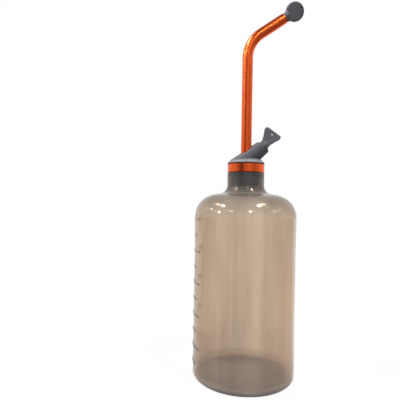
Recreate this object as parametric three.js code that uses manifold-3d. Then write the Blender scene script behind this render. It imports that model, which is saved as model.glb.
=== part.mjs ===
// Squeeze bottle for fuel: a blown translucent bottle with a hooded screw cap, a bent metal
// spout and two rubber stoppers. Millimetres, +Z up. The origin is on the bottle's axis,
// level with its foot ring, and the spout leans towards +X.

import * as THREE from 'three';
import { mergeVertices } from 'three/addons/utils/BufferGeometryUtils.js';
import Module from 'manifold-3d';

// Bottle body
const bodyRadius = 38;
const bodyWall = 1.2;
const footSwell = 0.15;
const shoulderSwell = 0.3;
const waistBottom = 30;
const waistTop = 95;
const heelRadius = 5;
const footRingWidth = 5;
const baseRecess = 1.2;
const recessSlope = 2;
const floorThickness = 1.8;
const shoulderStart = 120.5;
const shoulderRadius = 17.3;
const shoulderRise = 10;

// Neck and threaded spigot
const neckRadius = 14;
const neckWall = 1.5;
const neckFillet = 6.5;
const neckTop = 154;
const spigotStep = 2.5;
const spigotWall = 0.9;
const spigotHeight = 5.8;
const spigotChamfer = 0.3;

// Raised volume scale on the -X side
const markVolume = 50000;
const firstMark = 13.1;
const markProud = 0.5;
const markThickness = 1;
const majorMarkArc = 34;
const minorMarkArc = 20;
const markCentre = 188;
const majorEvery = 2;

// Neck gasket
const gasketThickness = 1;
const seatGap = 0.1;

// Cap
const threadDepth = 0.6;
const threadClearance = 0.2;
const skirtWall = 0.8;
const skirtLift = 0.4;
const flangeLip = 0.6;
const bevelRise = 2.8;
const bevelRun = 2.7;
const plugClearance = 0.3;
const plugWall = 1.2;
const plugDepth = 15.1;
const topPlate = 1.6;
const hoodWidth = 13.6;
const hoodSetback = 0.3;
const hoodEndX = 12.8;
const hoodEndHeight = 20.5;
const hoodTilt = 51;
const hoodEndRadius = 5.65;
const hoodEdge = 0.5;
const hoodWall = 1.9;
const fillerBoreRadius = 3.3;
const fillerBoreLength = 4;
const socketWall = 1.9;
const socketDepth = 3;
const socketLip = 1.4;
const lipReach = 0.9;

// Collar ring on the cap's skirt
const ringClearance = 0.1;
const ringGap = 0.3;
const ringEdge = 0.25;

// Spout
const tubeRadius = 4;
const tubeWall = 1;
const tubeClearance = 0.3;
const spoutCorner = 253.9;
const spoutBendRadius = 22.5;
const legAngle = 34;
const legLength = 33.1;

// Seal ring round the spout
const sealSection = 1.1;
const sealClearance = 0.2;
const sealRise = 4.5;
const grooveClearance = 0.15;

// Spout stopper
const stopperGap = 0.3;
const stemClearance = 0.3;
const tipStemLength = 9;
const tipCollarStart = 3.3;
const tipCollarEnd = 4.2;
const tipCollarLength = 3.5;
const tipTabRadius = 7.2;
const tipTabThickness = 3.4;
const tipTabReach = 9.5;
const tipTabTwist = 20;
const tabRounding = 0.9;
const tabHoleRadius = 0.7;
const tipHoleInset = 2;

// Filler stopper
const fillerStemLength = 5.5;
const fillerRimRadius = 4.3;
const fillerRimThickness = 0.9;
const fillerGrooveRadius = 3.2;
const fillerGrooveLength = 1;
const fillerConeRadius = 3.9;
const fillerConeLength = 1.6;
const fanLength = 14.2;
const fanEndWidth = 14;
const fanRootWidth = 7.2;
const fanLean = 4;
const fanCornerRadius = 1.8;
const fanWaist = 0.45;
const fanCornerRun = 1.6;
const fanThickness = 3;
const fanHoleInset = 2.7;

// Facets
const bottleSides = 48;
const capSides = 40;
const tubeSides = 24;
const rubberSides = 24;

// How far a cut runs past the face that it opens
const cutOverrun = 1;

const wasm = await Module();
wasm.setup();

const rad = THREE.MathUtils.degToRad;
const point = (x, y) => new THREE.Vector2(x, y);

// A closed geometry as a solid that can be joined and cut
function solid(geometry) {
  geometry.deleteAttribute('normal');
  geometry.deleteAttribute('uv');
  const merged = mergeVertices(geometry, 1e-4);
  const index = merged.index.array;
  const kept = [];
  for (let i = 0; i < index.length; i += 3) {
    const [a, b, c] = [index[i], index[i + 1], index[i + 2]];
    if (a !== b && b !== c && c !== a) kept.push(a, b, c);
  }
  return new wasm.Manifold(new wasm.Mesh({
    numProp: 3,
    vertProperties: new Float32Array(merged.attributes.position.array),
    triVerts: new Uint32Array(kept),
  }));
}

function mesh(name, body, material) {
  const { vertProperties, triVerts } = body.getMesh();
  const geometry = new THREE.BufferGeometry();
  geometry.setAttribute('position', new THREE.BufferAttribute(vertProperties, 3));
  geometry.setIndex(new THREE.BufferAttribute(triVerts, 1));
  geometry.computeVertexNormals();
  const result = new THREE.Mesh(geometry, material);
  result.name = name;
  return result;
}

// Points of an arc in a profile, angles in degrees
function arc(centreX, centreY, radius, from, to, steps) {
  return Array.from({ length: steps + 1 }, (_, i) => {
    const angle = rad(from + (to - from) * i / steps);
    return point(centreX + radius * Math.cos(angle), centreY + radius * Math.sin(angle));
  });
}

// A solid of revolution about +Z from a profile of (radius, height) points, outer side first
function revolve(profile, sides) {
  const closed = profile[0].x === 0 ? profile : [...profile, profile[0]];
  return solid(new THREE.LatheGeometry(closed, sides).rotateX(Math.PI / 2));
}

function cylinder(radius, bottom, top, sides) {
  return revolve([point(0, bottom), point(radius, bottom), point(radius, top), point(0, top)], sides);
}

// A ring of points round a centre, in the plane across the tilted direction.
// A tilt of 90 degrees is a level ring, and less leans its upper side towards +X.
function tiltedRing(x, z, radius, tilt, sides) {
  const across = new THREE.Vector3(Math.sin(rad(tilt)), 0, -Math.cos(rad(tilt)));
  return Array.from({ length: sides }, (_, i) => {
    const angle = 2 * Math.PI * i / sides;
    const ringPoint = new THREE.Vector3(x, radius * Math.sin(angle), z);
    return ringPoint.addScaledVector(across, radius * Math.cos(angle));
  });
}

// A level oval ring, longer along X than it is wide, that starts on its +X side
function ovalRing(z, halfLength, halfWidth, sides) {
  return Array.from({ length: sides }, (_, i) => {
    const angle = 2 * Math.PI * i / sides;
    return new THREE.Vector3(halfLength * Math.cos(angle), halfWidth * Math.sin(angle), z);
  });
}

// A solid lofted through rings of as many points each, from the lowest to the highest
function loft(rings) {
  const sides = rings[0].length;
  const last = rings.length - 1;
  const middle = (ring) => ring.reduce((sum, p) => sum.add(p), new THREE.Vector3()).divideScalar(sides);
  const vertices = [...rings.flat(), middle(rings[0]), middle(rings[last])];
  const lowCentre = vertices.length - 2;
  const highCentre = vertices.length - 1;
  const faces = [];
  for (let i = 0; i < sides; i += 1) {
    const next = (i + 1) % sides;
    faces.push(lowCentre, next, i);
    faces.push(highCentre, last * sides + i, last * sides + next);
    for (let r = 0; r < last; r += 1) {
      const low = r * sides;
      const high = low + sides;
      faces.push(low + i, low + next, high + next);
      faces.push(low + i, high + next, high + i);
    }
  }
  const geometry = new THREE.BufferGeometry().setFromPoints(vertices);
  geometry.setIndex(faces);
  return solid(geometry);
}

// One skin of the blown wall, from the heel up to the end of the fillet under the neck
function wallSkin(inset, radiusAtNeck) {
  const turn = 90 - shoulderRise;
  const shoulderCentre = bodyRadius + shoulderSwell - shoulderRadius;
  const shoulder = arc(shoulderCentre, shoulderStart, shoulderRadius - inset, 0, turn, 12);
  const top = shoulder[shoulder.length - 1];
  const fillet = neckFillet + inset;
  const slope = rad(shoulderRise);
  const run = (top.x + fillet * Math.sin(slope) - radiusAtNeck - fillet) / Math.cos(slope);
  const filletHeight = top.y + run * Math.sin(slope) + fillet * Math.cos(slope);
  return [
    ...arc(bodyRadius + footSwell - heelRadius, heelRadius, heelRadius - inset, -90, 0, 6),
    point(bodyRadius - inset, waistBottom),
    point(bodyRadius - inset, waistTop),
    ...shoulder,
    ...arc(radiusAtNeck + fillet, filletHeight, fillet, -180 + turn, -180, 7),
  ];
}

// Heights and radii that the pieces share
const spigotTop = neckTop + spigotHeight;
const spigotRadius = neckRadius - spigotStep;
const spigotBore = spigotRadius - spigotWall;
const flangeHeight = spigotTop + gasketThickness + 2 * seatGap;
const skirtInner = spigotRadius + threadDepth + threadClearance;
const skirtOuter = skirtInner + skirtWall;
const plugRadius = spigotBore - plugClearance;
const plugBottom = spigotTop - plugDepth;
const hoodBase = flangeHeight + flangeLip + bevelRise;
const hoodBaseRadius = neckRadius - bevelRun;
const hoodLength = 2 * (hoodBaseRadius - hoodSetback);
const hoodEnd = new THREE.Vector3(hoodEndX, 0, neckTop + hoodEndHeight);
const hoodAxis = new THREE.Vector3(Math.cos(rad(hoodTilt)), 0, Math.sin(rad(hoodTilt)));
const socketBore = tubeRadius + tubeClearance;
const socketRadius = socketBore + socketWall;
const socketBottom = neckTop - socketDepth;
const tubeBottom = socketBottom + socketLip + seatGap;
const sealHeight = neckTop + sealRise;
const legAxis = new THREE.Vector3(Math.cos(rad(legAngle)), 0, Math.sin(rad(legAngle)));

function volumeMarks() {
  const insideRadius = bodyRadius - bodyWall;
  const spacing = markVolume / (Math.PI * insideRadius ** 2);
  const count = 1 + Math.floor((shoulderStart - firstMark) / spacing);
  const rootRadius = bodyRadius - bodyWall / 2;
  const faceRadius = bodyRadius + markProud;
  return Array.from({ length: count }, (_, i) => {
    const span = (i + 1) % majorEvery === 0 ? majorMarkArc : minorMarkArc;
    const from = markCentre - span / 2;
    const outline = [
      ...arc(0, 0, faceRadius, from, from + span, 6),
      ...arc(0, 0, rootRadius, from + span, from, 6),
    ];
    const bar = new THREE.ExtrudeGeometry(new THREE.Shape(outline), {
      depth: markThickness,
      bevelEnabled: false,
    });
    return solid(bar.translate(0, 0, firstMark + i * spacing - markThickness / 2));
  });
}

function bottle() {
  const footOuter = bodyRadius + footSwell - heelRadius;
  const footInner = footOuter - footRingWidth;
  const outside = wallSkin(0, neckRadius);
  const inside = wallSkin(bodyWall, neckRadius - neckWall).reverse();
  const floorTop = baseRecess + floorThickness;
  const insideWall = inside.filter((p) => p.y > floorTop);
  const neckStep = neckRadius - neckWall - spigotBore;
  const blown = revolve([
    point(0, baseRecess),
    point(footInner - recessSlope, baseRecess),
    point(footInner, 0),
    ...outside,
    point(neckRadius, neckTop),
    point(spigotRadius, neckTop),
    point(spigotRadius, spigotTop - spigotChamfer),
    point(spigotRadius - spigotChamfer, spigotTop),
    point(spigotBore, spigotTop),
    point(spigotBore, neckTop - neckWall),
    point(neckRadius - neckWall, neckTop - neckWall - neckStep),
    ...insideWall,
    point(insideWall[insideWall.length - 1].x, floorTop),
    point(0, floorTop),
  ], bottleSides);
  return volumeMarks().reduce((body, mark) => body.add(mark), blown);
}

function neckGasket() {
  const bottom = spigotTop + seatGap;
  const top = bottom + gasketThickness;
  const outer = skirtInner - threadClearance;
  return revolve([
    point(spigotBore, bottom),
    point(outer, bottom),
    point(outer, top),
    point(spigotBore, top),
  ], capSides);
}

// The hood stands on the cap's top plate, as long as the plate but narrower, and leans towards +X
function hoodShell() {
  const rimX = hoodEnd.x - hoodEdge * hoodAxis.x;
  const rimZ = hoodEnd.z - hoodEdge * hoodAxis.z;
  return loft([
    ovalRing(hoodBase - topPlate / 2, hoodLength / 2, hoodWidth / 2, capSides),
    ovalRing(hoodBase, hoodLength / 2, hoodWidth / 2, capSides),
    tiltedRing(rimX, rimZ, hoodEndRadius, hoodTilt, capSides),
    tiltedRing(hoodEnd.x, hoodEnd.z, hoodEndRadius - hoodEdge, hoodTilt, capSides),
  ]);
}

// The free space inside the hood, from inside the plug to the filler bore
function hoodCavity() {
  const endX = hoodEnd.x - fillerBoreLength * hoodAxis.x;
  const endZ = hoodEnd.z - fillerBoreLength * hoodAxis.z;
  const plateBottom = hoodBase - topPlate;
  const halfLength = hoodLength / 2 - hoodWall;
  const halfWidth = hoodWidth / 2 - hoodWall;
  const hood = loft([
    ovalRing(plateBottom - cutOverrun, halfLength, halfWidth, capSides),
    ovalRing(hoodBase, halfLength, halfWidth, capSides),
    tiltedRing(endX, endZ, hoodEndRadius - hoodWall, hoodTilt, capSides),
  ]);
  return cylinder(plugRadius - plugWall, plugBottom - cutOverrun, plateBottom, capSides).add(hood);
}

function fillerBore() {
  const reach = fillerBoreLength + cutOverrun;
  const rings = [-reach, reach].map((along) => tiltedRing(
    hoodEnd.x + along * hoodAxis.x,
    hoodEnd.z + along * hoodAxis.z,
    fillerBoreRadius,
    hoodTilt,
    rubberSides,
  ));
  return loft(rings);
}

function sealGroove() {
  const halfHeight = sealSection / 2 + grooveClearance;
  const depth = tubeRadius + sealClearance + sealSection + grooveClearance;
  return revolve([
    point(0, sealHeight - halfHeight),
    point(depth, sealHeight - halfHeight),
    point(depth, sealHeight + halfHeight),
    point(0, sealHeight + halfHeight),
  ], capSides);
}

function cap() {
  const hoodTop = hoodEnd.z + hoodEndRadius;
  const lip = tubeRadius - lipReach;
  const shell = revolve([
    point(0, plugBottom),
    point(plugRadius, plugBottom),
    point(plugRadius, flangeHeight),
    point(skirtInner, flangeHeight),
    point(skirtInner, neckTop + skirtLift),
    point(skirtOuter, neckTop + skirtLift),
    point(skirtOuter, flangeHeight),
    point(neckRadius, flangeHeight),
    point(neckRadius, flangeHeight + flangeLip),
    point(hoodBaseRadius, hoodBase),
    point(0, hoodBase),
  ], capSides);
  const outside = shell.add(hoodShell());
  const socket = cylinder(socketRadius, socketBottom, hoodTop, capSides).intersect(outside);
  return outside
    .subtract(hoodCavity())
    .add(socket)
    .subtract(fillerBore())
    .subtract(cylinder(socketBore, tubeBottom - seatGap, hoodTop, capSides))
    .subtract(cylinder(lip, socketBottom - cutOverrun, hoodTop, capSides))
    .subtract(sealGroove());
}

function collarRing() {
  const bottom = neckTop + ringGap;
  const top = flangeHeight - ringGap;
  const inner = skirtOuter + ringClearance;
  return revolve([
    point(inner, bottom),
    point(neckRadius - ringEdge, bottom),
    point(neckRadius, bottom + ringEdge),
    point(neckRadius, top - ringEdge),
    point(neckRadius - ringEdge, top),
    point(inner, top),
  ], bottleSides);
}

// The spout's centre line is a riser, a bend and a leg, as rings of the given radius
function spoutCore(radius, overrun) {
  const turn = 90 - legAngle;
  const tangent = spoutBendRadius * Math.tan(rad(turn / 2));
  const bendStart = spoutCorner - tangent;
  const bendSteps = 10;
  const bend = Array.from({ length: bendSteps + 1 }, (_, i) => {
    const tilt = 90 - turn * i / bendSteps;
    const x = spoutBendRadius * (1 - Math.sin(rad(tilt)));
    const z = bendStart + spoutBendRadius * Math.cos(rad(tilt));
    return tiltedRing(x, z, radius, tilt, tubeSides);
  });
  const end = legLength + overrun;
  return loft([
    tiltedRing(0, tubeBottom - overrun, radius, 90, tubeSides),
    ...bend,
    tiltedRing(end * legAxis.x, spoutCorner + end * legAxis.z, radius, legAngle, tubeSides),
  ]);
}

function spoutTube() {
  return spoutCore(tubeRadius, 0).subtract(spoutCore(tubeRadius - tubeWall, cutOverrun));
}

function spoutSeal() {
  const middle = tubeRadius + sealClearance + sealSection / 2;
  const section = arc(middle, sealHeight, sealSection / 2, 0, 360, 10).slice(0, -1);
  return revolve(section, capSides);
}

// Half of a rounded plate's section, as a profile for revolve
function roundedDisc(radius, thickness, rounding) {
  const half = thickness / 2;
  return revolve([
    point(0, -half),
    ...arc(radius - rounding, -half + rounding, rounding, -90, 0, 4),
    ...arc(radius - rounding, half - rounding, rounding, 0, 90, 4),
    point(0, half),
  ], rubberSides);
}

// A plate standing in the local XZ plane, so that its flat sides face -Y and +Y
const upright = (body) => body.rotate([90, 0, 0]);

function spoutStopper() {
  const stemRadius = tubeRadius - tubeWall - stemClearance;
  const plug = revolve([
    point(0, -tipStemLength),
    point(stemRadius - tabRounding, -tipStemLength),
    point(stemRadius, -tipStemLength + tabRounding),
    point(stemRadius, stopperGap),
    point(tipCollarStart, stopperGap),
    point(tipCollarEnd, stopperGap + tipCollarLength),
    point(0, stopperGap + tipCollarLength),
  ], rubberSides);
  const tab = upright(roundedDisc(tipTabRadius, tipTabThickness, tabRounding))
    .translate([0, 0, tipTabReach]);
  const hole = upright(cylinder(tabHoleRadius, -tipTabThickness, tipTabThickness, 12))
    .translate([0, 0, tipTabReach + tipTabRadius - tipHoleInset]);
  return plug.add(tab).subtract(hole).rotate([0, 0, tipTabTwist]);
}

function fanTab() {
  const root = stopperGap + fillerRimThickness + fillerGrooveLength;
  const halfEnd = fanEndWidth / 2;
  const halfRoot = fanRootWidth / 2;
  const flare = new THREE.QuadraticBezierCurve(
    point(halfRoot, root + fillerConeLength),
    point(halfRoot + (halfEnd - halfRoot) * fanWaist, (root + fanLength) / 2),
    point(halfEnd, fanLength - fanCornerRadius * fanCornerRun),
  ).getPoints(5);
  const corner = arc(halfEnd - fanCornerRadius, fanLength - fanCornerRadius, fanCornerRadius, 0, 90, 5);
  const side = [point(halfRoot, root), ...flare, ...corner];
  const outline = [...side, ...side.map((p) => point(-p.x, p.y)).reverse()];
  const bevel = fanThickness / 4;
  const plate = new THREE.ExtrudeGeometry(new THREE.Shape(outline), {
    depth: fanThickness - 2 * bevel,
    bevelThickness: bevel,
    bevelSize: bevel,
    bevelOffset: -bevel,
    bevelSegments: 2,
  });
  return upright(solid(plate.translate(0, 0, bevel - fanThickness / 2)));
}

function fillerStopper() {
  const stemRadius = fillerBoreRadius - stemClearance;
  const grooveStart = stopperGap + fillerRimThickness;
  const coneStart = grooveStart + fillerGrooveLength;
  const plug = revolve([
    point(0, -fillerStemLength),
    point(stemRadius - tabRounding, -fillerStemLength),
    point(stemRadius, -fillerStemLength + tabRounding),
    point(stemRadius, stopperGap),
    point(fillerRimRadius, stopperGap),
    point(fillerRimRadius, grooveStart),
    point(fillerGrooveRadius, grooveStart),
    point(fillerGrooveRadius, coneStart),
    point(fillerConeRadius, coneStart),
    point(fanThickness / 2, coneStart + fillerConeLength),
    point(0, coneStart + fillerConeLength),
  ], rubberSides);
  const hole = upright(cylinder(tabHoleRadius, -fanThickness, fanThickness, 12))
    .translate([0, 0, fanLength - fanHoleInset]);
  const tab = fanTab().subtract(hole);
  const leant = tab.translate([0, 0, -coneStart]).rotate([0, -fanLean, 0]).translate([0, 0, coneStart]);
  return plug.add(leant);
}

// A group whose +Z points up a slope towards +X
function slopeGroup(origin, slope, child) {
  const group = new THREE.Group();
  group.position.copy(origin);
  group.rotation.y = rad(90 - slope);
  group.add(child);
  return group;
}

const smoked = new THREE.MeshStandardMaterial({
  color: 0xa8907c,
  roughness: 0.25,
  metalness: 0,
  transparent: true,
  opacity: 0.5,
});
const greyPlastic = new THREE.MeshStandardMaterial({ color: 0x4c4b54, roughness: 0.5, metalness: 0 });
const orangeMetal = new THREE.MeshStandardMaterial({ color: 0xd2521e, roughness: 0.3, metalness: 0.9 });
const greyRubber = new THREE.MeshStandardMaterial({ color: 0x45444b, roughness: 0.75, metalness: 0 });
const blackRubber = new THREE.MeshStandardMaterial({ color: 0x1c1c1e, roughness: 0.8, metalness: 0 });

const spoutEnd = new THREE.Vector3(0, 0, spoutCorner).addScaledVector(legAxis, legLength);
const model = new THREE.Group();
model.add(
  mesh('bottle', bottle(), smoked),
  mesh('neck_gasket', neckGasket(), blackRubber),
  mesh('cap', cap(), greyPlastic),
  mesh('collar_ring', collarRing(), orangeMetal),
  mesh('spout_tube', spoutTube(), orangeMetal),
  mesh('spout_seal', spoutSeal(), blackRubber),
  slopeGroup(spoutEnd, legAngle, mesh('spout_stopper', spoutStopper(), greyRubber)),
  slopeGroup(hoodEnd, hoodTilt, mesh('filler_stopper', fillerStopper(), greyRubber)),
);

export default model;
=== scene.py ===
# Fuel bottle: a smoked translucent squeeze bottle with a hooded cap and a bent orange spout.
# Sizes are in metres. +Z is up, the origin is on the bottle's axis at its foot, and the spout
# leans towards +X.

import math

import bpy
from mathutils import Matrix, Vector


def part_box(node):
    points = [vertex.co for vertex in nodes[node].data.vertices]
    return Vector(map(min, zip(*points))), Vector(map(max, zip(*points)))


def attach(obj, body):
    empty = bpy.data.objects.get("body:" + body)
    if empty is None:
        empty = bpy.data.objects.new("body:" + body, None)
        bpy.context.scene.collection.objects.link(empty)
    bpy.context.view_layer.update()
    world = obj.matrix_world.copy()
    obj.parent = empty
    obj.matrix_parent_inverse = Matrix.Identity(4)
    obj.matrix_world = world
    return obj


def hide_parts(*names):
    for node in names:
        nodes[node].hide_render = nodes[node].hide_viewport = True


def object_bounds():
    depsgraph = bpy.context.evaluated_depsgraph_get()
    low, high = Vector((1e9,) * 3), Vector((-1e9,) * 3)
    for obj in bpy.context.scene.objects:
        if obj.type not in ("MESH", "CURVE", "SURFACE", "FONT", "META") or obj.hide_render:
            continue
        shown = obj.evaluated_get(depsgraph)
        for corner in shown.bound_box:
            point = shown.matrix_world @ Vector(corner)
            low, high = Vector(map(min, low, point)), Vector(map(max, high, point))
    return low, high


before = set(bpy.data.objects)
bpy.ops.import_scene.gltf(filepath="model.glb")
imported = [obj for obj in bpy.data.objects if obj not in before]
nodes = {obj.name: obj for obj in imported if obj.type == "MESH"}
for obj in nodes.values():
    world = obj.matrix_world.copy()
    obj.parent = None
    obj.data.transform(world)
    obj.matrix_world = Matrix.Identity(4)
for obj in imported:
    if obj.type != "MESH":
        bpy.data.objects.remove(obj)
cad_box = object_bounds()
MM = 0.001

# Bottle wall, as in the solid
BODY_RADIUS = 38 * MM
BODY_WALL = 1.2 * MM
FOOT_SWELL = 0.15 * MM
SHOULDER_SWELL = 0.3 * MM
WAIST_BOTTOM = 30 * MM
WAIST_TOP = 95 * MM
HEEL_RADIUS = 5 * MM
FOOT_RING_WIDTH = 5 * MM
BASE_RECESS = 1.2 * MM
RECESS_SLOPE = 2 * MM
RECESS_BEND = 0.55
FLOOR_THICKNESS = 1.8 * MM
SHOULDER_START = 120.5 * MM
SHOULDER_RADIUS = 17.3 * MM
SHOULDER_RISE = 10
NECK_RADIUS = 14 * MM
NECK_WALL = 1.5 * MM
NECK_FILLET = 6.5 * MM
NECK_TOP = 154 * MM
SPIGOT_RADIUS = 11.5 * MM
SPIGOT_BORE = 10.6 * MM
SPIGOT_TOP = 159.8 * MM
SPIGOT_ROUND = 0.3 * MM

# Volume scale. Arcs and azimuths are in degrees, from +X towards +Y.
FIRST_MARK = 13.1 * MM
MARK_VOLUME = 50e-6
MARK_PROUD = 0.48 * MM
MARK_HALF = 0.5 * MM
MARK_EDGE = 0.18 * MM
MARK_CENTRE = 188
MAJOR_ARC = 34
MINOR_ARC = 20
FIGURE_STEP = 50
FIGURE_SIZE = 7.2 * MM
FIGURE_AZIMUTH = 158
FIGURE_PROUD = 0.47 * MM
FIGURE_ROOT = 0.03 * MM
FIGURE_SMOOTHNESS = 4

# Thread on the spigot, under the cap
THREAD_PITCH = 3 * MM
THREAD_PROUD = 0.45 * MM
THREAD_BOTTOM = 154.5 * MM
THREAD_TOP = 159.2 * MM
THREAD_FADE = 0.8 * MM
THREAD_FULLNESS = 0.7
THREAD_RINGS = 32

# Spout
TUBE_RADIUS = 4 * MM
TUBE_WALL = 1 * MM
TUBE_RIM = 0.2 * MM
SPOUT_CORNER = 253.9 * MM
SPOUT_BEND = 22.5 * MM
LEG_ANGLE = 34
LEG_LENGTH = 33.1 * MM

# Edges of the cap and the stoppers
CAP_BEVEL = 0.25 * MM
CAP_BEVEL_ANGLE = 28
RUBBER_VOXEL = 0.25 * MM
RUBBER_SMOOTHING = 6
WELD_REACH = 0.001 * MM
SHARP_ANGLE = 35

# Facets
BOTTLE_SIDES = 288
TUBE_SIDES = 64
HEEL_STEPS = 10
SHOULDER_STEPS = 30
FILLET_STEPS = 16
BEND_STEPS = 28

# What the wall takes up per metre
WALL_COLOUR = (0.59, 0.32, 0.0, 1)
WALL_DENSITY = 450
WALL_SHADOW = (0.95, 0.95, 0.95, 1)

# Surface tint and clearness of the wall at heights in millimetres. The tint is darker towards the foot, and
# darker in the shoulder and the neck as painted shade.
TINT_STOPS = [
    (0, (0.84, 0.84, 0.86)),
    (12, (0.9, 0.9, 0.91)),
    (24, (0.94, 0.94, 0.95)),
    (38, (0.98, 0.98, 0.98)),
    (120, (0.98, 0.98, 0.98)),
    (131, (0.84, 0.87, 0.9)),
    (137, (0.68, 0.73, 0.77)),
    (139.5, (0.48, 0.5, 0.52)),
    (142, (0.34, 0.35, 0.36)),
    (154, (0.36, 0.36, 0.37)),
]
CLEAR_STOPS = [
    (0, 0.955),
    (131, 0.955),
    (142, 0.88),
    (154, 0.88),
]

# Raised marks and figures, told from the wall by their distance from the axis, and painted a darker grey as
# painted shade for their ridges
RAISED_PAINTED_SHADE = (0.5, 0.5, 0.51, 1)
RAISED_START = BODY_RADIUS + 0.34 * MM
RAISED_FULL = BODY_RADIUS + 0.44 * MM

# The thick base inside the foot ring, partly cloudy haze and partly painted shade for the shadowed floor
# under it, which fades out towards the heel and up the wall
BASE_HAZE_AND_SHADE = (0.15, 0.165, 0.205, 1)
BASE_CLEAR = 0.1
BASE_MIDDLE = 35 * MM
BASE_EDGE = 38.8 * MM
BASE_LOW = 0.4 * MM
BASE_LOW_FADE = 0.3 * MM
BASE_TOP = 3.2 * MM
HEEL_TOP = 8 * MM

# Grey plastic, and painted light from above on the upward faces of the cap, mostly on its flange
PLASTIC_DARK = (0.046, 0.048, 0.06)
PLASTIC_PALE = (0.06, 0.062, 0.076)
PAINTED_TOP_LIGHT = (0.22, 0.21, 0.22, 1)
TOP_LIGHT_SLOPES = (0.45, 0.62)
TOP_LIGHT_ON_HOOD = 0.25
FLANGE_TOP = 162.8 * MM
FLANGE_FADE = 1 * MM

# Rubber and metal
RUBBER_DARK = (0.075, 0.077, 0.087)
RUBBER_PALE = (0.1, 0.102, 0.114)
ORANGE_DARK = (0.77, 0.095, 0.011)
ORANGE_PALE = (0.86, 0.118, 0.016)
ROUGHNESS_SPREAD = 0.02

# Camera
VIEW_DISTANCE = 0.305
VIEW_HEIGHT = 0.133
VIEW_LEFT = 0.0346
VIEW_ROLL = -0.95
VIEW_LENS = 36
VIEW_SENSOR = 36
VIEW_NEAR = 10 * MM

# Lamps as (name, azimuth, elevation, width, strength), with angles in degrees
LAMPS = [
    ("lamp_left", -80, 50, 7, 2.1),
    ("lamp_right", 44, 59, 7, 2.1),
    ("lamp_small_0", -97, 27, 3, 0.4),
    ("lamp_small_1", -69, 25, 3, 0.4),
    ("lamp_small_2", -41, 33, 3, 0.4),
    ("lamp_small_3", 6, 33, 3, 0.4),
    ("lamp_small_4", 67, 30, 3, 0.4),
]

# Brightness of the room and the floor in reflections. A bearing of 0.25 is the left, 0.5 the front
# and 0.75 the right.
ROOM_BANDS = [
    (0, 0.95),
    (0.27, 0.95),
    (0.34, 0.5),
    (0.41, 0.1),
    (0.47, 0.6),
    (0.54, 0.85),
    (0.62, 0.45),
    (0.68, 0.55),
    (0.76, 0.95),
]
OVERHEAD_BANDS = [
    (0, 1),
    (0.45, 0.8),
    (0.8, 0.5),
    (1, 0.45),
]
FLOOR_BANDS = [
    (0, 0.75),
    (0.07, 0.75),
    (0.13, 0.8),
    (0.19, 0.3),
    (0.24, 0.1),
    (0.34, 0.2),
    (0.66, 0.25),
    (0.76, 0.2),
    (0.81, 0.4),
    (0.87, 1),
    (0.94, 0.85),
    (1, 0.75),
]
WHITE = (1, 1, 1, 1)
ROOM_LIGHT = (0.3, 0.3, 0.3, 1)
FLOOR_LIGHT = (0.25, 0.25, 0.25, 1)
FLOOR_WHITE = (0.72, 0.72, 0.72, 1)
FLOOR_HALF = 6
FLOOR_DROP = 0.1 * MM

# How much of the floor glows by itself, for what the camera sees, what shows through the wall
# and what is reflected. Under the bottle, out to the open floor, nothing glows through the wall.
GLOW_SEEN = 0.9
GLOW_THROUGH = 0.7
GLOW_REFLECTED = 0.9
GLOSS_GAIN = 1.3
GLOSS_SET_BACK = 35 * MM
OPEN_FLOOR = (20 * MM, 30 * MM)


def node_tree(name):
    """A new material with an empty node tree and its output node."""
    material = bpy.data.materials.new(name)
    material.use_nodes = True
    tree = material.node_tree
    tree.nodes.clear()
    output = tree.nodes.new("ShaderNodeOutputMaterial")
    return material, tree, output


def add(tree, kind, inputs=None, **settings):
    """A node of that kind, with its settings, and its inputs set or linked."""
    node = tree.nodes.new(kind)
    for key, value in settings.items():
        setattr(node, key, value)
    for key, value in (inputs or {}).items():
        if isinstance(value, bpy.types.NodeSocket):
            tree.links.new(value, node.inputs[key])
        else:
            node.inputs[key].default_value = value
    return node


def ramp(tree, factor, stops):
    """A colour ramp over factor, with (position, grey or colour) stops."""
    node = add(tree, "ShaderNodeValToRGB", {"Fac": factor})
    band = node.color_ramp
    while len(band.elements) < len(stops):
        band.elements.new(0.5)
    for element, (position, value) in zip(band.elements, stops):
        element.position = position
        colour = (value, value, value) if isinstance(value, (int, float)) else value
        element.color = (*colour, 1)
    return node.outputs["Color"]


def between(tree, value, low, high, start=0, end=1):
    """A value between low and high, as a number that runs from start to end."""
    return add(
        tree,
        "ShaderNodeMapRange",
        {"Value": value, "From Min": low, "From Max": high, "To Min": start, "To Max": end},
    ).outputs["Result"]


def compute(tree, operation, first, second):
    """Two numbers joined by an operation."""
    return add(tree, "ShaderNodeMath", {0: first, 1: second}, operation=operation).outputs[0]


def times(tree, first, second):
    return compute(tree, "MULTIPLY", first, second)


def larger(tree, first, second):
    return compute(tree, "MAXIMUM", first, second)


def mix(tree, factor, first, second, kind="MIX"):
    """Two colours mixed by a factor."""
    return add(
        tree,
        "ShaderNodeMixRGB",
        {"Fac": factor, "Color1": first, "Color2": second},
        blend_type=kind,
    ).outputs[0]


def object_place(tree):
    """The point in the object's own frame."""
    return add(tree, "ShaderNodeTexCoord").outputs["Object"]


def axes(tree, vector):
    """The X, Y and Z parts of a vector."""
    return add(tree, "ShaderNodeSeparateXYZ", {"Vector": vector}).outputs


def length(tree, vector):
    return add(tree, "ShaderNodeVectorMath", {0: vector}, operation="LENGTH").outputs["Value"]


def place_height(tree):
    """Height of the point above the bottle's foot."""
    return axes(tree, object_place(tree))["Z"]


def place_radius(tree):
    """Distance of the point from the bottle's axis."""
    level = add(
        tree,
        "ShaderNodeVectorMath",
        {0: object_place(tree), 1: (1, 1, 0)},
        operation="MULTIPLY",
    ).outputs["Vector"]
    return length(tree, level)


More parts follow.
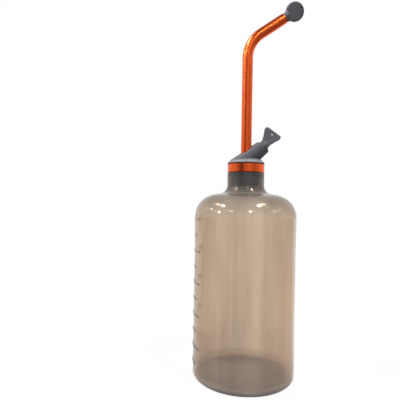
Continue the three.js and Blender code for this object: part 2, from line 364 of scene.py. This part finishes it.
def noise(tree, fineness, scale=(1, 1, 1), detail=3, roughness=0.55):
    """Noise in the object's own frame, stretched by a scale for each axis."""
    vector = add(
        tree,
        "ShaderNodeMapping",
        {"Vector": object_place(tree), "Scale": scale},
    ).outputs["Vector"]
    return add(
        tree,
        "ShaderNodeTexNoise",
        {"Vector": vector, "Scale": fineness, "Detail": detail, "Roughness": roughness},
    ).outputs["Fac"]


def bump(tree, relief, strength, distance):
    return add(
        tree,
        "ShaderNodeBump",
        {"Height": relief, "Strength": strength, "Distance": distance},
    ).outputs["Normal"]


def ray_is(tree, kind):
    """1 for rays of a kind, such as Camera or Shadow, and 0 for others."""
    return add(tree, "ShaderNodeLightPath").outputs[f"Is {kind} Ray"]


def seen_directly(tree):
    """1 for what the camera sees, also through the wall."""
    return larger(tree, ray_is(tree, "Camera"), ray_is(tree, "Transmission"))


def principled(tree, inputs):
    return add(tree, "ShaderNodeBsdfPrincipled", inputs).outputs[0]


def plain_surface(material, tree, output, inputs):
    """Finishes a material that is one shader on the surface."""
    tree.links.new(principled(tree, inputs), output.inputs["Surface"])
    return material


def by_height(tree, stops):
    """A colour or a number by height, with stops in millimetres up to the top of the neck."""
    level = between(tree, place_height(tree), 0, NECK_TOP)
    return ramp(tree, level, [(z * MM / NECK_TOP, value) for z, value in stops])


def wall_tint(tree):
    """Tint by height, with painted shade in the shoulder and the neck, and the uneven thickness and the
    vertical streaks of a blown wall.
    """
    thickness = noise(tree, 46, (1, 1, 0.22))
    streaks = noise(tree, 110, (1, 1, 0.03))
    patches = ramp(tree, thickness, [(0.34, (0.86, 0.86, 0.85)), (0.6, 1)])
    lines = ramp(tree, streaks, [(0.36, (0.9, 0.9, 0.89)), (0.56, 1)])
    uneven = mix(tree, 1, patches, lines, "MULTIPLY")
    # The tint by height paints shade into the shoulder and the neck.
    return mix(tree, 1, by_height(tree, TINT_STOPS), uneven, "MULTIPLY")


def cloudy_shaded_base(tree):
    """1 over the base plate, where the haze and the painted shade go, fading out towards the heel, up the
    wall and at the foot ring.
    """
    inside = between(tree, place_radius(tree), BASE_MIDDLE, BASE_EDGE, 1, 0)
    below = between(tree, place_height(tree), BASE_TOP, HEEL_TOP, 1, 0)
    above = between(tree, place_height(tree), BASE_LOW, BASE_LOW + BASE_LOW_FADE)
    return times(tree, times(tree, inside, below), above)


def smoked_plastic():
    """Smoked plastic that takes up light in its wall, with painted shade darkening the shoulder and the
    neck.
    """
    material, tree, output = node_tree("smoked_plastic")
    # The raised marks and figures are painted darker: painted shade for their ridges.
    raised = between(tree, place_radius(tree), RAISED_START, RAISED_FULL)
    marked = mix(tree, raised, wall_tint(tree), RAISED_PAINTED_SHADE)
    clear = by_height(tree, CLEAR_STOPS)
    # The base plate is painted dark: partly haze, partly painted shade for the shadowed floor under it.
    base = cloudy_shaded_base(tree)
    waves = noise(tree, 34, (1, 1, 0.3), detail=2)
    die_lines = noise(tree, 170, (1, 1, 0.012))
    relief = compute(tree, "ADD", waves, die_lines)
    glass = principled(
        tree,
        {
            "Base Color": mix(tree, base, marked, BASE_HAZE_AND_SHADE),
            "Roughness": ramp(tree, noise(tree, 420), [(0.3, 0.08), (0.7, 0.11)]),
            "IOR": 1.45,
            "Transmission Weight": between(tree, base, 0, 1, clear, BASE_CLEAR),
            "Normal": bump(tree, relief, 0.025, 1 * MM),
        },
    )
    through = add(tree, "ShaderNodeBsdfTransparent", {"Color": WALL_SHADOW})
    surface = add(tree, "ShaderNodeMixShader", {0: ray_is(tree, "Shadow"), 1: glass, 2: through.outputs[0]})
    wall = add(tree, "ShaderNodeVolumeAbsorption", {"Color": WALL_COLOUR, "Density": WALL_DENSITY})
    tree.links.new(surface.outputs[0], output.inputs["Surface"])
    tree.links.new(wall.outputs[0], output.inputs["Volume"])
    return material


def grey_plastic():
    """Moulded grey plastic with a fine grain, and painted light from above on its upward faces."""
    material, tree, output = node_tree("grey_plastic")
    cloud = noise(tree, 90)
    grain = noise(tree, 2600, detail=2)
    # Upward faces, mostly on the flange, are painted lighter: painted light from above.
    facing = axes(tree, add(tree, "ShaderNodeNewGeometry").outputs["Normal"])["Z"]
    upward = between(tree, facing, *TOP_LIGHT_SLOPES)
    flange = between(tree, place_height(tree), FLANGE_TOP, FLANGE_TOP + FLANGE_FADE, 1, TOP_LIGHT_ON_HOOD)
    clean = ramp(tree, cloud, [(0.3, PLASTIC_DARK), (0.7, PLASTIC_PALE)])
    return plain_surface(material, tree, output, {
        "Base Color": mix(tree, times(tree, upward, flange), clean, PAINTED_TOP_LIGHT),
        "Roughness": ramp(tree, cloud, [(0.3, 0.5), (0.7, 0.62)]),
        "IOR": 1.45,
        "Normal": bump(tree, grain, 0.25, 0.1 * MM),
    })


def grey_rubber():
    """Soft moulded rubber with a dusty bloom."""
    material, tree, output = node_tree("grey_rubber")
    cloud = noise(tree, 160)
    grain = noise(tree, 3000, detail=2)
    return plain_surface(material, tree, output, {
        "Base Color": ramp(tree, cloud, [(0.3, RUBBER_DARK), (0.7, RUBBER_PALE)]),
        "Roughness": ramp(tree, cloud, [(0.3, 0.5), (0.7, 0.68)]),
        "IOR": 1.5,
        "Sheen Weight": 0.15,
        "Sheen Roughness": 0.5,
        "Normal": bump(tree, grain, 0.3, 0.12 * MM),
    })


def black_rubber():
    material, tree, output = node_tree("black_rubber")
    grain = noise(tree, 1800, detail=2)
    return plain_surface(material, tree, output, {
        "Base Color": ramp(tree, grain, [(0.3, 0.012), (0.7, 0.022)]),
        "Roughness": 0.6,
        "Normal": bump(tree, grain, 0.3, 0.1 * MM),
    })


def orange_metal(name, scale, fineness, roughness):
    """Anodised aluminium. The scale stretches its turning lines or cloudiness."""
    material, tree, output = node_tree(name)
    lines = noise(tree, fineness, scale, detail=4, roughness=0.7)
    cloud = noise(tree, 120)
    return plain_surface(material, tree, output, {
        "Base Color": ramp(tree, cloud, [(0.3, ORANGE_DARK), (0.7, ORANGE_PALE)]),
        "Metallic": 1,
        "Roughness": ramp(
            tree,
            lines,
            [(0.3, roughness - ROUGHNESS_SPREAD), (0.7, roughness + ROUGHNESS_SPREAD)],
        ),
        "Coat Weight": 0.3,
        "Coat Roughness": 0.28,
    })


def arc(centre, radius, start, end, steps):
    """Profile points on an arc, with angles in degrees."""
    angles = [math.radians(start + (end - start) * i / steps) for i in range(steps + 1)]
    return [(centre[0] + radius * math.cos(a), centre[1] + radius * math.sin(a)) for a in angles]


def new_piece(name, vertices, faces, material, body):
    """A smooth-shaded mesh object that rides on a body."""
    data = bpy.data.meshes.new(name)
    data.from_pydata(vertices, [], faces)
    data.validate()
    data.materials.append(material)
    piece = bpy.data.objects.new(name, data)
    bpy.context.scene.collection.objects.link(piece)
    data.shade_smooth()
    data.set_sharp_from_angle(angle=math.radians(SHARP_ANGLE))
    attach(piece, body)
    return piece


def revolve(profile, sides, proud):
    """Vertices and faces of a solid of revolution. Its profile starts on the axis, runs up the
    outer side and ends on the axis again, and proud(r, z, azimuth) is added to its radius."""
    vertices = []
    rings = []
    for r, z in profile:
        if r == 0:
            rings.append([len(vertices)])
            vertices.append((0, 0, z))
            continue
        rings.append(list(range(len(vertices), len(vertices) + sides)))
        for i in range(sides):
            azimuth = 360 * i / sides
            radius = r + proud(r, z, azimuth)
            a = math.radians(azimuth)
            vertices.append((radius * math.cos(a), radius * math.sin(a), z))
    faces = []
    for low, high in zip(rings, rings[1:]):
        for i in range(sides):
            j = (i + 1) % sides
            if len(low) == 1:
                faces.append((low[0], high[j], high[i]))
            elif len(high) == 1:
                faces.append((low[i], low[j], high[0]))
            else:
                faces.append((low[i], low[j], high[j], high[i]))
    return vertices, faces


def wall_skin(inset, neck_radius):
    """One skin of the blown wall, from the heel up to the top of the fillet under the neck."""
    turn = 90 - SHOULDER_RISE
    slope = math.radians(SHOULDER_RISE)
    centre = BODY_RADIUS + SHOULDER_SWELL - SHOULDER_RADIUS
    shoulder = arc((centre, SHOULDER_START), SHOULDER_RADIUS - inset, 0, turn, SHOULDER_STEPS)
    top_r, top_z = shoulder[-1]
    fillet = NECK_FILLET + inset
    run = (top_r + fillet * math.sin(slope) - neck_radius - fillet) / math.cos(slope)
    fillet_z = top_z + run * math.sin(slope) + fillet * math.cos(slope)
    heel_centre = (BODY_RADIUS + FOOT_SWELL - HEEL_RADIUS, HEEL_RADIUS)
    return [
        *arc(heel_centre, HEEL_RADIUS - inset, -90, 0, HEEL_STEPS),
        (BODY_RADIUS - inset, WAIST_BOTTOM),
        (BODY_RADIUS - inset, WAIST_TOP),
        *shoulder,
        *arc((neck_radius + fillet, fillet_z), fillet, turn - 180, -180, FILLET_STEPS),
    ]


def mark_heights():
    """Heights of the volume marks, one for each 50 ml."""
    spacing = MARK_VOLUME / (math.pi * (BODY_RADIUS - BODY_WALL) ** 2)
    count = 1 + int((SHOULDER_START - FIRST_MARK) / spacing)
    return [FIRST_MARK + i * spacing for i in range(count)]


def with_mark_rings(skin):
    """The outer skin with extra rings at the edges of each mark."""
    body = [p for p in skin if HEEL_RADIUS <= p[1] <= SHOULDER_START]
    rings = []
    for middle in mark_heights():
        for reach in (-MARK_HALF, MARK_EDGE - MARK_HALF, MARK_HALF - MARK_EDGE, MARK_HALF):
            z = middle + reach
            upper = next(i for i, point in enumerate(body) if point[1] > z)
            (r0, z0), (r1, z1) = body[upper - 1], body[upper]
            rings.append((r0 + (r1 - r0) * (z - z0) / (z1 - z0), z))
    return sorted([*skin, *rings], key=lambda p: (p[1], -p[0]))


def thread_relief(z, azimuth):
    """How far the thread stands out from the spigot, fading in and out at its ends."""
    turns = (z - THREAD_BOTTOM) / THREAD_PITCH - azimuth / 360
    crest = max(0, math.cos(2 * math.pi * turns)) ** THREAD_FULLNESS
    ends = min(z - THREAD_BOTTOM, THREAD_TOP - z) / THREAD_FADE
    return THREAD_PROUD * crest * max(0, min(1, ends))


def wall_relief(r, z, azimuth):
    """How far the outer skin stands out at a point, for the volume scale and the thread."""
    if z > NECK_TOP:
        return thread_relief(z, azimuth) if r == SPIGOT_RADIUS else 0
    if r < BODY_RADIUS - BODY_WALL / 2:
        return 0
    for i, level in enumerate(mark_heights()):
        arc_length = MAJOR_ARC if i % 2 else MINOR_ARC
        inside = abs(azimuth - MARK_CENTRE) <= arc_length / 2
        if inside and abs(z - level) < MARK_HALF - MARK_EDGE / 2:
            return BODY_RADIUS + MARK_PROUD - r
    return 0


def bottle_wall(material):
    """The closed wall of the bottle, with its marks and its thread."""
    foot_outer = BODY_RADIUS + FOOT_SWELL - HEEL_RADIUS
    foot_inner = foot_outer - FOOT_RING_WIDTH
    floor_top = BASE_RECESS + FLOOR_THICKNESS
    neck_bore = NECK_RADIUS - NECK_WALL
    neck_step = neck_bore - SPIGOT_BORE
    thread_step = (THREAD_TOP - THREAD_BOTTOM) / THREAD_RINGS
    profile = [
        (0, BASE_RECESS),
        (foot_inner - RECESS_SLOPE, BASE_RECESS),
        (foot_inner - RECESS_SLOPE / 2, BASE_RECESS * RECESS_BEND),
        (foot_inner, 0),
        *with_mark_rings(wall_skin(0, NECK_RADIUS)),
        (NECK_RADIUS, NECK_TOP),
        (SPIGOT_RADIUS, NECK_TOP),
        *[(SPIGOT_RADIUS, THREAD_BOTTOM + thread_step * i) for i in range(THREAD_RINGS + 1)],
        (SPIGOT_RADIUS, SPIGOT_TOP - SPIGOT_ROUND),
        (SPIGOT_RADIUS - SPIGOT_ROUND, SPIGOT_TOP),
        (SPIGOT_BORE, SPIGOT_TOP),
        (SPIGOT_BORE, NECK_TOP - NECK_WALL),
        (neck_bore, NECK_TOP - NECK_WALL - neck_step),
        *reversed(wall_skin(BODY_WALL, neck_bore)),
        (foot_inner + BODY_WALL / 2, BODY_WALL),
        (foot_inner - RECESS_SLOPE, floor_top),
        (0, floor_top),
    ]
    vertices, faces = revolve(profile, BOTTLE_SIDES, wall_relief)
    wall = new_piece("bottle_wall", vertices, faces, material, "bottle")
    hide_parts("bottle")
    return wall


def flat_figure(words):
    """The mesh of a raised figure, lying flat and centred on its origin."""
    curve = bpy.data.curves.new("figure", "FONT")
    curve.body = words
    curve.size = FIGURE_SIZE
    curve.align_x = "CENTER"
    curve.align_y = "CENTER"
    curve.extrude = (FIGURE_PROUD + FIGURE_ROOT) / 2
    curve.resolution_u = FIGURE_SMOOTHNESS
    figure = bpy.data.objects.new("figure", curve)
    bpy.context.scene.collection.objects.link(figure)
    bpy.context.view_layer.update()
    evaluated = figure.evaluated_get(bpy.context.evaluated_depsgraph_get())
    flat = bpy.data.meshes.new_from_object(evaluated)
    bpy.data.objects.remove(figure)
    bpy.data.curves.remove(curve)
    return flat


def scale_figures(material):
    """Raised plain figures beside the long marks, bent round the wall."""
    vertices = []
    faces = []
    middle = BODY_RADIUS + (FIGURE_PROUD - FIGURE_ROOT) / 2
    for i, level in enumerate(mark_heights()):
        if i % 2 == 0:
            continue
        flat = flat_figure(str(FIGURE_STEP * (i + 1)))
        start = len(vertices)
        for vertex in flat.vertices:
            x, y, depth = vertex.co
            azimuth = math.radians(FIGURE_AZIMUTH) + x / BODY_RADIUS
            radius = middle + depth
            vertices.append((radius * math.cos(azimuth), radius * math.sin(azimuth), level + y))
        faces += [[start + v for v in face.vertices] for face in flat.polygons]
    return new_piece("scale_figures", vertices, faces, material, "bottle")


def tilted_ring(station, radius, sides):
    """Points of a ring round a station, in the plane across its tilt above level."""
    x, z, tilt = station
    across = Vector((math.sin(math.radians(tilt)), 0, -math.cos(math.radians(tilt))))
    points = []
    for i in range(sides):
        a = 2 * math.pi * i / sides
        points.append(Vector((x, radius * math.sin(a), z)) + across * radius * math.cos(a))
    return points


def spout_stations(bottom):
    """(x, z, tilt) along the spout's centre line, from its lower end to its tip."""
    turn = 90 - LEG_ANGLE
    bend_start = SPOUT_CORNER - SPOUT_BEND * math.tan(math.radians(turn / 2))
    stations = [(0, bottom, 90), (0, (bottom + bend_start) / 2, 90)]
    for i in range(BEND_STEPS + 1):
        tilt = 90 - turn * i / BEND_STEPS
        x = SPOUT_BEND * (1 - math.sin(math.radians(tilt)))
        z = bend_start + SPOUT_BEND * math.cos(math.radians(tilt))
        stations.append((x, z, tilt))
    leg_x = LEG_LENGTH * math.cos(math.radians(LEG_ANGLE))
    leg_z = LEG_LENGTH * math.sin(math.radians(LEG_ANGLE))
    stations.append((leg_x, SPOUT_CORNER + leg_z, LEG_ANGLE))
    return stations


def shifted(station, along):
    """A station moved along the centre line."""
    x, z, tilt = station
    return x + along * math.cos(math.radians(tilt)), z + along * math.sin(math.radians(tilt)), tilt


def spout_tube(material):
    """The bent tube with its bore and small rounded rims."""
    stations = spout_stations(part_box("spout_tube")[0][2])
    inner = TUBE_RADIUS - TUBE_WALL
    first, last = stations[0], stations[-1]
    first_in, last_in = shifted(first, TUBE_RIM), shifted(last, -TUBE_RIM)
    rings = [
        (first, inner + TUBE_RIM),
        (first, TUBE_RADIUS - TUBE_RIM),
        (first_in, TUBE_RADIUS),
        *[(station, TUBE_RADIUS) for station in stations[1:-1]],
        (last_in, TUBE_RADIUS),
        (last, TUBE_RADIUS - TUBE_RIM),
        (last, inner + TUBE_RIM),
        (last_in, inner),
        *[(station, inner) for station in reversed(stations[1:-1])],
        (first_in, inner),
    ]
    vertices = []
    for station, radius in rings:
        vertices += tilted_ring(station, radius, TUBE_SIDES)
    faces = []
    for r in range(len(rings)):
        low = r * TUBE_SIDES
        high = (r + 1) % len(rings) * TUBE_SIDES
        for i in range(TUBE_SIDES):
            j = (i + 1) % TUBE_SIDES
            faces.append((low + i, low + j, high + j, high + i))
    tube = new_piece("spout_pipe", vertices, faces, material, "spout")
    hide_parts("spout_tube")
    return tube


def dress(name, material):
    """A solid's node with its material."""
    node = nodes[name]
    node.data.materials.clear()
    node.data.materials.append(material)
    return node


def add_modifier(node, name, kind, **settings):
    modifier = node.modifiers.new(name, kind)
    for key, value in settings.items():
        setattr(modifier, key, value)


def rounded(node):
    """The whole form softened, as moulded rubber."""
    add_modifier(node, "remesh", "REMESH", mode="VOXEL", voxel_size=RUBBER_VOXEL, use_smooth_shade=True)
    add_modifier(node, "soften", "SMOOTH", factor=0.5, iterations=RUBBER_SMOOTHING)


def crisp(node, bevel=0):
    """Smooth shading that keeps the edges sharp, or gives them a small bevel."""
    add_modifier(node, "weld", "WELD", merge_threshold=WELD_REACH)
    if bevel:
        add_modifier(
            node,
            "edge",
            "BEVEL",
            width=bevel,
            segments=2,
            limit_method="ANGLE",
            angle_limit=math.radians(CAP_BEVEL_ANGLE),
            harden_normals=False,
        )
    add_modifier(node, "normals", "WEIGHTED_NORMAL", keep_sharp=True)


def bearing(tree, x, y):
    """Bearing of a direction as 0 to 1: 0.25 at the left, 0.5 at the front and 0.75 at the right."""
    angle = compute(tree, "ARCTAN2", x, times(tree, y, -1))
    return between(tree, angle, -math.pi, math.pi)


def studio_world():
    """White for what the camera sees, and a pale room with soft darker bands for light and gloss."""
    world = bpy.data.worlds.new("studio")
    bpy.context.scene.world = world
    world.use_nodes = True
    tree = world.node_tree
    tree.nodes.clear()
    output = add(tree, "ShaderNodeOutputWorld")
    way = axes(tree, add(tree, "ShaderNodeTexCoord").outputs["Generated"])
    around = ramp(tree, bearing(tree, way["X"], way["Y"]), ROOM_BANDS)
    overhead = ramp(tree, way["Z"], OVERHEAD_BANDS)
    room = mix(tree, 1, around, overhead, "MULTIPLY")
    light = mix(tree, ray_is(tree, "Glossy"), ROOM_LIGHT, room)
    colour = mix(tree, seen_directly(tree), light, WHITE)
    background = add(tree, "ShaderNodeBackground", {"Color": colour, "Strength": 1})
    tree.links.new(background.outputs[0], output.inputs["Surface"])


def lamp(name, azimuth, elevation, width, strength):
    """A distant soft lamp. Azimuth 0 is the front and grows to the right, and width is its size."""
    data = bpy.data.lights.new(name, "SUN")
    data.angle = math.radians(width)
    data.energy = strength
    a, e = math.radians(azimuth), math.radians(elevation)
    way = Vector((math.sin(a) * math.cos(e), -math.cos(a) * math.cos(e), math.sin(e)))
    lamp_object = bpy.data.objects.new(name, data)
    bpy.context.scene.collection.objects.link(lamp_object)
    lamp_object.location = way
    lamp_object.rotation_euler = (-way).to_track_quat("-Z", "Y").to_euler()


def floor_glow(tree):
    """The share of the floor's look that glows by itself, for each kind of ray."""
    open_floor = between(tree, length(tree, object_place(tree)), *OPEN_FLOOR)
    seen = times(tree, ray_is(tree, "Camera"), GLOW_SEEN)
    through = times(tree, times(tree, ray_is(tree, "Transmission"), GLOW_THROUGH), open_floor)
    reflected = times(tree, ray_is(tree, "Glossy"), GLOW_REFLECTED)
    return larger(tree, larger(tree, seen, through), reflected)


def floor_material():
    """White with a soft shadow, and greyer in reflections beside the bottle than behind it."""
    material, tree, output = node_tree("floor")
    shade = mix(tree, seen_directly(tree), FLOOR_LIGHT, FLOOR_WHITE)
    matt = add(tree, "ShaderNodeBsdfDiffuse", {"Color": shade})
    place = axes(tree, object_place(tree))
    set_back = compute(tree, "ADD", place["Y"], GLOSS_SET_BACK)
    behind = ramp(tree, bearing(tree, place["X"], set_back), FLOOR_BANDS)
    bright = add(
        tree,
        "ShaderNodeVectorMath",
        {0: behind, "Scale": GLOSS_GAIN},
        operation="SCALE",
    ).outputs["Vector"]
    gloss = mix(tree, ray_is(tree, "Glossy"), WHITE, bright)
    glow = add(tree, "ShaderNodeEmission", {"Color": gloss, "Strength": 1})
    surface = add(
        tree,
        "ShaderNodeMixShader",
        {0: floor_glow(tree), 1: matt.outputs[0], 2: glow.outputs[0]},
    )
    tree.links.new(surface.outputs[0], output.inputs["Surface"])
    return material


def floor():
    """A wide level floor just below the bottle."""
    half = FLOOR_HALF
    corners = [(-half, -half, 0), (half, -half, 0), (half, half, 0), (-half, half, 0)]
    data = bpy.data.meshes.new("floor")
    data.from_pydata(corners, [], [(0, 1, 2, 3)])
    data.materials.append(floor_material())
    plane = bpy.data.objects.new("floor", data)
    bpy.context.scene.collection.objects.link(plane)
    plane.location.z = cad_box[0][2] - FLOOR_DROP


def camera():
    data = bpy.data.cameras.new("camera")
    data.sensor_width = VIEW_SENSOR
    data.lens = VIEW_LENS
    data.clip_start = VIEW_NEAR
    view = bpy.data.objects.new("camera", data)
    bpy.context.scene.collection.objects.link(view)
    view.location = (-VIEW_LEFT, -VIEW_DISTANCE, VIEW_HEIGHT)
    view.rotation_euler = (math.pi / 2, math.radians(VIEW_ROLL), 0)
    bpy.context.scene.camera = view


camera()
studio_world()
floor()
for lamp_values in LAMPS:
    lamp(*lamp_values)

smoked = smoked_plastic()
grey = grey_plastic()
rubber = grey_rubber()
black = black_rubber()
orange_drawn = orange_metal("orange_drawn", scale=(1, 1, 0.4), fineness=30, roughness=0.26)
orange_turned = orange_metal("orange_turned", scale=(0.02, 0.02, 1), fineness=900, roughness=0.2)

bottle_wall(smoked)
scale_figures(smoked)
spout_tube(orange_drawn)
crisp(dress("cap", grey), CAP_BEVEL)
crisp(dress("collar_ring", orange_turned))
crisp(dress("neck_gasket", black))
crisp(dress("spout_seal", black))
rounded(dress("spout_stopper", rubber))
rounded(dress("filler_stopper", rubber))

scene = bpy.context.scene
scene.view_settings.view_transform = "Standard"
bpy.context.view_layer.update()
